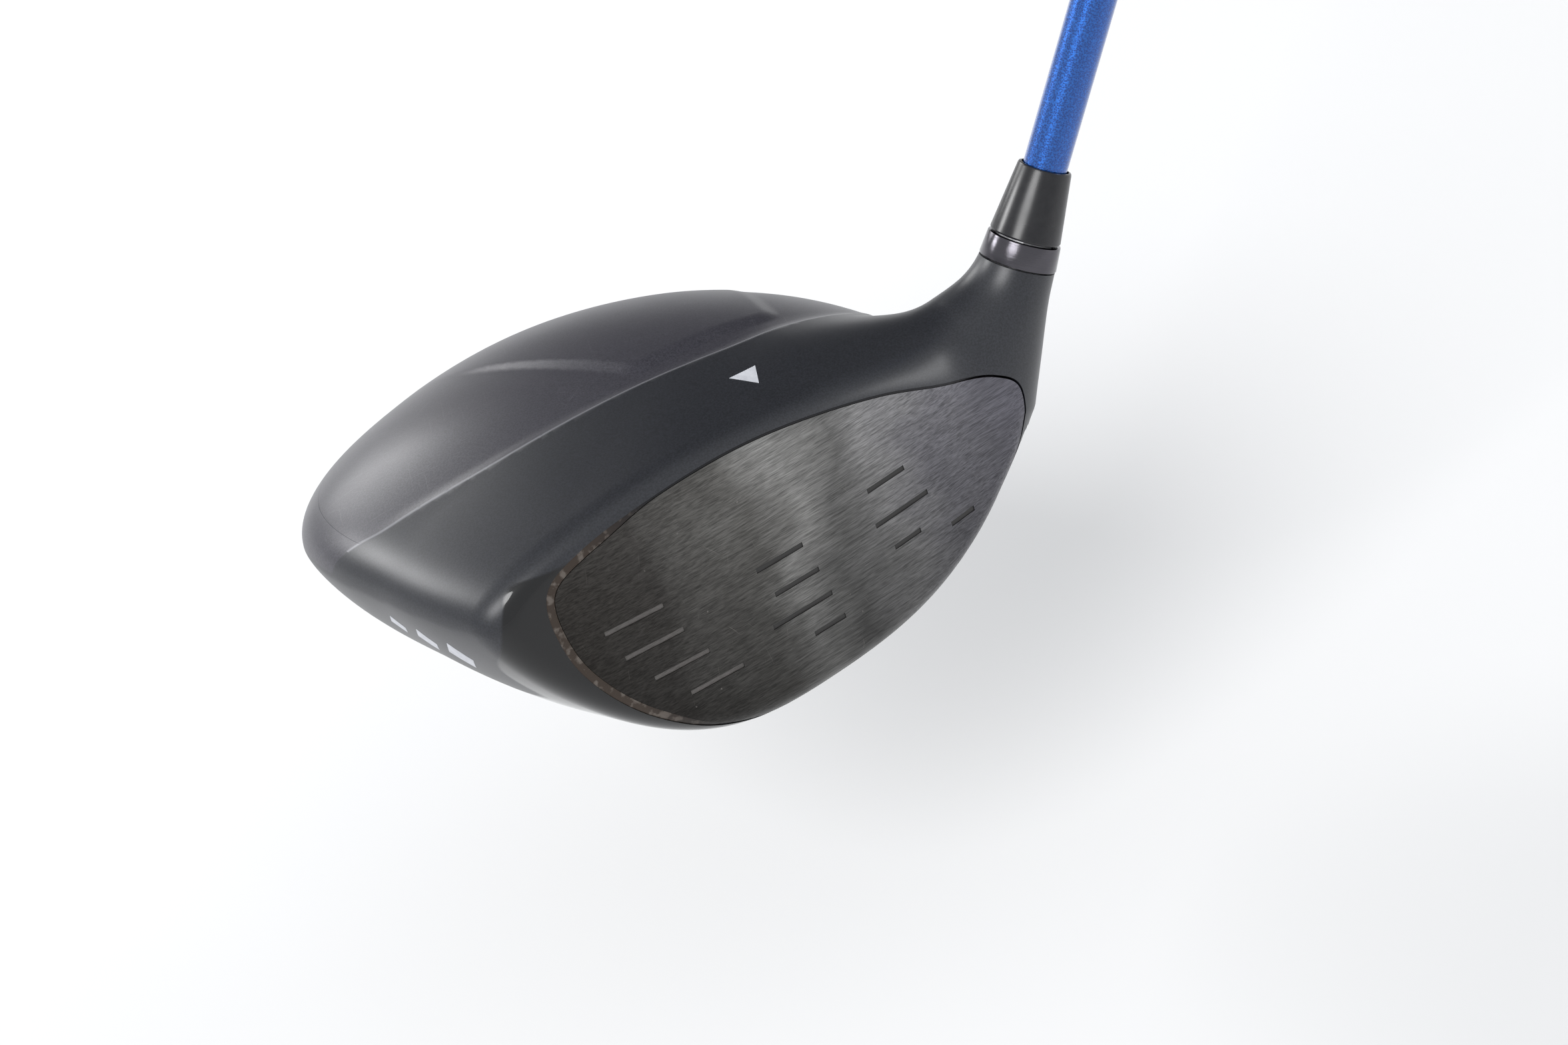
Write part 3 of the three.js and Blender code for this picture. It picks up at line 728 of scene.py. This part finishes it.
def smooth_outside(piece, form):
    """Gives the faces that lie on the form its true normals, and leaves cut faces flat."""
    mesh = piece.data
    points = read_points(mesh.vertices, "co") / MM
    true = normals(form, points)
    off = np.abs(form(points))
    loops = np.zeros(len(mesh.loops), int)
    mesh.loops.foreach_get("vertex_index", loops)
    starts = np.zeros(len(mesh.polygons), int)
    totals = np.zeros(len(mesh.polygons), int)
    mesh.polygons.foreach_get("loop_start", starts)
    mesh.polygons.foreach_get("loop_total", totals)
    facing = np.repeat(read_points(mesh.polygons, "normal"), totals, axis=0)
    on_form = np.maximum.reduceat(off[loops], starts) < ON_FORM
    on_form = np.repeat(on_form, totals) & ((true[loops] * facing).sum(-1) > FACING_OUT)
    mesh.polygons.foreach_set("use_smooth", np.ones(len(mesh.polygons), bool))
    mesh.normals_split_custom_set(np.where(on_form[:, None], true[loops], facing).tolist())


def paint(piece, name, measure):
    """Keeps a measure of each point, such as its distance from a paint edge, for the materials."""
    points = read_points(piece.data.vertices, "co") / MM
    layer = piece.data.attributes.new(name, "FLOAT", "POINT")
    layer.data.foreach_set("value", measure(points) * MM)


outer = skin("outer", closed_form, HEAD_LOW, HEAD_HIGH, SKIN_STEP, 0.5 * SKIN_STEP)
combine(outer, rod("under_sole", 150, -20, 0, UPRIGHT, 12))
combine(outer, rod("over_hosel", 30, HOSEL["top"], 90, SHAFT_FRAME, 12))
under_panels = inner_skin("under_panels", PANEL + SEAM)
panel_backs = inner_skin("panel_backs", PANEL)
cavity = inner_skin("cavity", WALL)

crown = combine(combine(copy_of(outer, "crown"), crown_block("crown_edge", SEAM), "INTERSECT"),
                panel_backs, keep_tool=True)
sole = combine(combine(copy_of(outer, "sole"), sole_block("sole_edge", SEAM), "INTERSECT"),
               panel_backs)
BEAD = dict(width=0.45, toe_width=1.6, sink=0.14, toe_from=-28, toe_over=14, lap=0.05)
BEAD_WIDTH = BEAD["width"] + (BEAD["toe_width"] - BEAD["width"]) * ease(
    (BEAD["toe_from"] - PLATE_OUTLINE[:, :1]) / BEAD["toe_over"])
plate = combine(combine(copy_of(outer, "plate"), face_block("plate_edge", BEAD_WIDTH), "INTERSECT"),
                cavity, keep_tool=True)

plugs = {}
for name in WEIGHT_NAMES:
    place, outward = joint_line(f"{name}_weight_turn")
    plugs[name] = frame_at(place, outward)

boss_cavity = combine(copy_of(cavity, "boss_cavity"), rod("tube", TUBE, -10, 90, SHAFT_FRAME))
for name in WEIGHT_NAMES:
    combine(boss_cavity, rod("boss", WEIGHT_PORT["boss"], WEIGHT_PORT["boss_end"], 5, plugs[name]))

body = copy_of(outer, "body")
combine(body, boss_cavity)
for block, ledge in ((crown_block, LEDGES["crown"]), (sole_block, LEDGES["sole"])):
    combine(body, combine(block("seat_cut", 0.0), under_panels, keep_tool=True))
    combine(body, combine(block("opening", ledge), outer, "INTERSECT", keep_tool=True))
combine(body, face_block("face_opening", 0.0))
for name in WEIGHT_NAMES:
    combine(body, rod("port", WEIGHT_PORT["r"], WEIGHT_PORT["floor"], 6, plugs[name]))
    combine(body, rod("thread", WEIGHT_PORT["thread"], WEIGHT_PORT["thread_end"], 0, plugs[name], 48))
combine(body, rod("bore", SEAT["bore"], SEAT["top"], 80, SHAFT_FRAME))
combine(body, rod("screw_hole", SEAT["hole"], 5, 30, SHAFT_FRAME, 48))
combine(body, rod("screw_port", SEAT["port"], -30, SEAT["bottom"], SHAFT_FRAME))

# Score lines are shallow troughs in the face; those at the toe keep some paint.
SCORES_TOE = (((-41.8, -30), 40), ((-39.9, -28), 34), ((-36.2, -24.9), 27.8), ((-30.8, -19.6), 21.7))
SCORES_WORN = (((-11.4, -1.1), 37), ((-9.5, 0.4), 31), ((-11.9, 1.4), 25.3), ((-4.5, 2.6), 19.6),
               ((14.9, 23.9), 39), ((14.3, 27.2), 32), ((16.8, 23.3), 26), ((30.2, 36.2), 23))
SCORE = dict(width=1.0, depth=0.16)


def on_face(x, z):
    """The point of the face at this place across and up."""
    p = np.array([[x, FACE["place"][1], z]], float)
    for _ in range(6):
        p[:, 1] += face_form(p) / math.cos(LOFT)
    return p[0]


def cut_score(target, ends, z):
    """A slim flat-bottomed bar, sunk into the face along a line across it."""
    first, last = (on_face(x, z) for x in ends)
    out = normals(face_form, np.array([(first + last) / 2]))[0]
    along = (last - first) / np.linalg.norm(last - first)
    where = (np.stack([along, np.cross(out, along), out], -1), (first + last) / 2)
    half = np.linalg.norm(last - first) / 2
    side = SCORE["width"] / 2
    ring = [(half, -side), (half, side), (-half, side), (-half, -side)]
    combine(target, prism("score", ring, -SCORE["depth"], 2, where))


for ends, z in SCORES_TOE + SCORES_WORN:
    cut_score(plate, ends, z)

bead_skin = skin("bead_skin", lambda p: head_form(p) + BEAD["sink"], HEAD_LOW, HEAD_HIGH, SKIN_STEP)
bead = combine(bead_skin, face_block("bead_outside", SEAM), "INTERSECT")
combine(bead, face_block("bead_inside", BEAD_WIDTH - BEAD["lap"], 30))
combine(bead, cavity)
for leftover in (under_panels, outer):
    bpy.data.objects.remove(leftover)

# The toe corner and the underside are gloss black; the rest of the body is satin.
GLOSS = dict(toe=(-42, 42.5), toe_r=17.0, front=-12.0, over=55.0, under=22.0, blend=12.0)


def from_gloss(p):
    """About how far a point is inside the gloss paint, in millimetres."""
    corner = np.hypot(p[:, 0] - GLOSS["toe"][0], p[:, 2] - GLOSS["toe"][1]) - GLOSS["toe_r"]
    corner = smooth_max(corner, p[:, 1] - GLOSS["front"], 8.0)
    corner = smooth_max(corner, p[:, 2] - GLOSS["over"], 2.0)
    return -smooth_min(corner, p[:, 2] - GLOSS["under"], GLOSS["blend"])


def second_look_below(piece, form, depth):
    """Puts the faces that lie deeper than this under a form, but near it, in the second slot."""
    polygons = piece.data.polygons
    off = form(read_points(polygons, "center") / MM)
    second = (off < -depth) & (off > -3 * depth)
    polygons.foreach_set("material_index", second.astype(np.int32))


for piece in (body, crown, sole):
    smooth_outside(piece, closed_form)
smooth_outside(plate, head_form)
smooth_outside(bead, lambda p: head_form(p) + BEAD["sink"])


FAR = 99.0
WEAR_AND_SHINE_TOE_END = -65.0


def from_crease(p):
    """Distance from the crease's edge, lighter for worn paint and a painted highlight; this fades out round
    the toe.
    """
    hidden = (p[:, 2] < RIM["height"]) | (p[:, 0] < WEAR_AND_SHINE_TOE_END)
    return np.abs(behind_crease(p[:, 0], p[:, 1])) + FAR * hidden


def in_crown_paint(p):
    """How far inside the crown's paint: behind the crease and above the rim."""
    above = p[:, 2] - RIM["height"] - RIM["slope_x"] * p[:, 0] - RIM["slope_y"] * p[:, 1] - 1
    return np.minimum(behind_crease(p[:, 0], p[:, 1]), above)


for piece in (body, crown):
    paint(piece, "gloss", from_gloss)
    paint(piece, "crease_off", from_crease)
    paint(piece, "on_crown", in_crown_paint)

dress(body, "head_shell", "satin", "head", "paint")
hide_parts("head_body")
dress(crown, "crown_skin", "crown", "head", "paint")
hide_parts("crown_panel")
dress(sole, "sole_skin", "gloss", "head", "weave")
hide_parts("sole_panel")
dress(plate, "strike_plate", "face", "head", "face", "score")
second_look_below(plate, head_form, SCORE["depth"] * 0.6)
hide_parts("face_plate")
dress(bead, "weld_bead", "face", "head", "weld")

# ---- marks: plain shapes in place of the maker's ---------------------------
MARK_LIFT = 0.05


def decal(name, outline, near, across):
    """A thin painted shape laid on the head at the surface point nearest to a place."""
    place = draw_onto(whole_form, np.array([near], float), 8)[0]
    out = normals(whole_form, place[None])[0]
    across = np.array(across, float) - out * (out @ np.array(across, float))
    across /= np.linalg.norm(across)
    where = (np.stack([across, np.cross(out, across), out], -1), place)
    reach = np.abs(np.array(outline)).max() + 2

    def lifted(p):
        return np.maximum(whole_form(p) - MARK_LIFT, np.abs(p - place).max(-1) - reach)

    low, high = place - reach - 1.5, place + reach + 1.5
    made = skin(name, lifted, low, high, 0.5)
    combine(made, prism("shape", outline, -1.0, 3, where), "INTERSECT")
    smooth_outside(made, lambda p: whole_form(p) - MARK_LIFT)
    return dress(made, name, "satin", "head", "mark")


ALIGN_SIZE = 3.4
triangle = [(ALIGN_SIZE * math.cos(a), ALIGN_SIZE * math.sin(a)) for a in np.radians((-90, 30, 150))]
decal("alignment_mark", triangle, (7.1, -17.1, 61.0), (1, 0, 0))
TOE_MARKS = ((-60, -12.5, 36.5), (-62, -4.5, 37.2), (-63.5, 3, 37.8))
for number, place in enumerate(TOE_MARKS):
    size = 3.3 - 0.6 * number
    diamond = [(size, 0), (0, 1.4 * size), (-size, 0), (0, -1.4 * size)]
    decal(f"toe_mark_{number}", diamond, place, (0, 1, 0))

# ---- lathe pieces on the shaft axis ----------------------------------------
RING = dict(bottom=59.5, top=64.2, r_bottom=7.5, r_top=7.1, bore=5.95, edge=0.2)
FERRULE = dict(bottom=64.5, top=78.2, r_bottom=6.85, r_top=5.2, bore=4.6, edge=0.4)
SHAFT = dict(bottom=30, taper=150, top=1137, r_tip=4.25, r_butt=7.6, wall=1.2)
GRIP = dict(bottom=872, top=1138, r_low=9.2, r_high=13.2, clear=0.95)
CAP = dict(bottom=1138.3, top=1142, r=13.2, vent=1.2)


def shaft_radius(t):
    share = np.clip((t - SHAFT["taper"]) / (SHAFT["top"] - SHAFT["taper"]), 0, 1)
    return SHAFT["r_tip"] + (SHAFT["r_butt"] - SHAFT["r_tip"]) * share


def smooth_but_edges(piece):
    """Smooth shading, with edges sharper than this angle kept sharp."""
    piece.data.shade_smooth()
    piece.data.set_sharp_from_angle(angle=math.radians(30))


def lathe(name, profile, look, slot, node):
    """A turned piece of the club, which stands for a CAD node."""
    made = turned(name, profile, SHAFT_FRAME)
    smooth_but_edges(made)
    dress(made, name, slot, "club", look)
    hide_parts(node)


def collar(size):
    """A conical collar with rolled edges and a bore, listed up the outside and down the bore."""
    e = size["edge"]
    low, high = size["bottom"], size["top"]
    r0, r1, bore = size["r_bottom"], size["r_top"], size["bore"]
    outside = [(bore, low), (r0 - e, low), (r0 - 0.3 * e, low + 0.3 * e), (r0, low + e)]
    outside += [(r1, high - e), (r1 - 0.3 * e, high - 0.3 * e), (r1 - e, high)]
    return outside + [(bore, high), (bore, low)]


lathe("collar_ring", collar(RING), "ring", "ring", "adapter_ring")
lathe("ferrule_cone", collar(FERRULE), "ferrule", "ferrule", "ferrule")

steps = np.linspace(SHAFT["bottom"], SHAFT["top"], 24)
up_outside = [(float(shaft_radius(t)), float(t)) for t in steps]
down_bore = [(float(shaft_radius(t)) - SHAFT["wall"], float(t)) for t in steps[::-1]]
lathe("shaft_tube", up_outside + down_bore + up_outside[:1], "shaft", "shaft", "shaft")


RIB = dict(depth=0.45, pitch=6, plain_end=6, fade=4)
GRIP_END = dict(round=2.0, depth=0.9)
GRIP_SWELL = 1.25


def grip_profile():
    """A swelling rubber sleeve with shallow grooves round it, plain and rounded at its ends."""
    low, high = GRIP["bottom"], GRIP["top"]
    outside = []
    for t in np.linspace(low, high, 268):
        share = (t - low) / (high - low)
        r = GRIP["r_low"] + (GRIP["r_high"] - GRIP["r_low"]) * share ** GRIP_SWELL
        from_end = min(t - low, high - t)
        groove = RIB["depth"] * ease((math.sin(t * 2 * math.pi / RIB["pitch"]) - 0.2) / 0.6)
        r -= groove * ease((from_end - RIB["plain_end"]) / RIB["fade"])
        r -= GRIP_END["depth"] * (1 - ease(from_end / GRIP_END["round"])) ** 2
        outside.append((float(r), float(t)))
    bore = [(float(shaft_radius(t)) + GRIP["clear"], t) for t in (high, low)]
    return outside + bore + outside[:1]


lathe("grip_sleeve", grip_profile(), "grip", "rubber", "grip")
cap_r = CAP["r"]
cap_profile = [(CAP["vent"], CAP["bottom"]), (cap_r, CAP["bottom"]), (cap_r, CAP["top"] - 1.6),
               (cap_r - 0.5, CAP["top"] - 0.5), (cap_r - 1.6, CAP["top"]), (cap_r - 5, CAP["top"]),
               (cap_r - 5.6, CAP["top"] - 0.5), (CAP["vent"] + 0.6, CAP["top"] - 0.5),
               (CAP["vent"], CAP["top"] - 0.9), (CAP["vent"], CAP["bottom"])]
lathe("grip_end", cap_profile, "rubber", "rubber", "grip_cap")

# ---- sole weights: a head with a star socket, on a threaded shank ----------
WEIGHT = dict(r=6.0, top=-0.3, under=-3.4, shank=2.9, end=-9.6, recess=2.2, recess_depth=2.0)


def star(r, points=6, dip=0.78, count=72):
    a = np.arange(count) * 2 * math.pi / count
    size = r * (dip + (1 - dip) * (0.5 + 0.5 * np.cos(points * a)))
    return np.stack([size * np.cos(a), size * np.sin(a)], -1)


def weight_profile():
    r, top, under = WEIGHT["r"], WEIGHT["top"], WEIGHT["under"]
    shank, end = WEIGHT["shank"], WEIGHT["end"]
    threads = []
    pitch = 1.0
    for h in np.arange(end + 0.6, under - 0.8, pitch):
        threads += [(shank - 0.35, h), (shank, h + pitch / 2)]
    dish = [(r, top - 0.5), (r - 0.5, top), (r - 1.3, top), (r - 1.7, top - 0.35), (0, top - 0.35)]
    return [(0, end), (shank - 0.6, end), *threads, (shank - 0.35, under - 0.3), (shank - 0.35, under),
            (r, under), *dish]


for name in WEIGHT_NAMES:
    plug = turned(f"{name}_plug_metal", weight_profile(), plugs[name], 64)
    depth = WEIGHT["top"] - WEIGHT["recess_depth"]
    combine(plug, prism("socket", star(WEIGHT["recess"]), depth, 2, plugs[name]))
    smooth_but_edges(plug)
    dress(plug, f"{name}_plug_metal", "tungsten", f"{name}_plug", "tungsten")
    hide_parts(f"{name}_weight")

# ---- CAD nodes that stay as they are, with their own materials -------------
KEPT = dict(rattle_glue="foam", screw_washer="steel", hosel_screw="steel", adapter_sleeve="alloy",
            thread_insert="steel", tip_plug="rubber", grip_tape="tape", toe_gasket="rubber",
            heel_gasket="rubber", rear_gasket="rubber")
for node, look in KEPT.items():
    node_mesh = bpy.data.objects[node].data
    node_mesh.materials.clear()
    node_mesh.materials.append(LOOKS[look])

# ---- floor, light and camera -----------------------------------------------
FLOOR_DROP = 80.0
FLOOR_HALF = 60000.0
signs = ((-1, -1), (1, -1), (1, 1), (-1, 1))
floor_corners = [(x * FLOOR_HALF, y * FLOOR_HALF, -FLOOR_DROP) for x, y in signs]
floor = make_object("floor", floor_corners, [(0, 1, 2, 3)])
pale = Look("pale_floor")
pale.set(Base_Color=pale.mix(pale.noise(3), (0.80, 0.80, 0.81), (0.83, 0.83, 0.83)), Roughness=0.9)
floor.data.materials.append(pale.material)

world = bpy.data.worlds.new("studio")
bpy.context.scene.world = world
world.use_nodes = True
sky = world.node_tree
background = sky.nodes["Background"]
background.inputs["Color"].default_value = (0.96, 0.98, 1.0, 1)
DARK_SIDE = (0.42, 0.74, 0.50)

# The room that lights the club is darker on the far heel side; the camera sees an even backdrop.
BACKDROP = 0.93
facing = sky.nodes.new("ShaderNodeTexCoord").outputs["Generated"]
aim = add_node(sky, "ShaderNodeVectorMath", {0: facing, 1: DARK_SIDE}, operation="DOT_PRODUCT")
fall = {"Value": aim.outputs["Value"], "From Min": 0.45, "From Max": 0.95, "To Min": 0.74, "To Max": 0.12}
strength = add_node(sky, "ShaderNodeMapRange", fall, interpolation_type="SMOOTHSTEP")
seen = sky.nodes.new("ShaderNodeLightPath").outputs["Is Camera Ray"]
shown = add_node(sky, "ShaderNodeMix", {0: seen, 2: strength.outputs["Result"], 3: BACKDROP})
sky.links.new(shown.outputs[0], background.inputs["Strength"])


def softbox(name, place, aim, width, height, power):
    light = bpy.data.lights.new(name, "AREA")
    light.shape = "RECTANGLE"
    light.size = width * MM
    light.size_y = height * MM
    light.energy = power
    made = bpy.data.objects.new(name, light)
    bpy.context.scene.collection.objects.link(made)
    made.location = Vector(place) * MM
    made.rotation_euler = (Vector(aim) - Vector(place)).to_track_quat("-Z", "Y").to_euler()


sun = bpy.data.lights.new("key", "SUN")
sun.energy = 1.75
sun.angle = math.radians(28)
key = bpy.data.objects.new("key", sun)
bpy.context.scene.collection.objects.link(key)
key.rotation_euler = Vector((1, 0.5, -1)).to_track_quat("-Z", "Y").to_euler()
softbox("toe_side", (-640, 900, 620), (-40, 0, 40), 320, 240, 4.6)
softbox("heel_side", (1050, -560, 420), (30, 0, 40), 260, 480, 2.6)
softbox("far", (-40, 1250, 470), (-20, 0, 40), 520, 420, 4.0)
bpy.context.scene.view_settings.view_transform = "Standard"

CAMERA = dict(place=(-215.5, -415.2, 362.5), azimuth=-29.24, elevation=36.34, roll=-13.39, lens=69.2)
azimuth, elevation, roll = (math.radians(CAMERA[k]) for k in ("azimuth", "elevation", "roll"))
back = np.array([math.sin(azimuth) * math.cos(elevation), -math.cos(azimuth) * math.cos(elevation),
                 math.sin(elevation)])
level = np.cross(-back, (0, 0, 1))
level /= np.linalg.norm(level)
upright = np.cross(level, -back)
across = math.cos(roll) * level + math.sin(roll) * upright
upward = -math.sin(roll) * level + math.cos(roll) * upright
camera_data = bpy.data.cameras.new("camera")
camera_data.lens = CAMERA["lens"]
camera_data.sensor_width = 36
camera_data.clip_start = 0.01
camera = bpy.data.objects.new("camera", camera_data)
bpy.context.scene.collection.objects.link(camera)
stand = Matrix(np.stack([across, upward, back], -1).tolist()).to_4x4()
stand.translation = Vector(CAMERA["place"]) * MM
camera.matrix_world = stand
bpy.context.scene.camera = camera
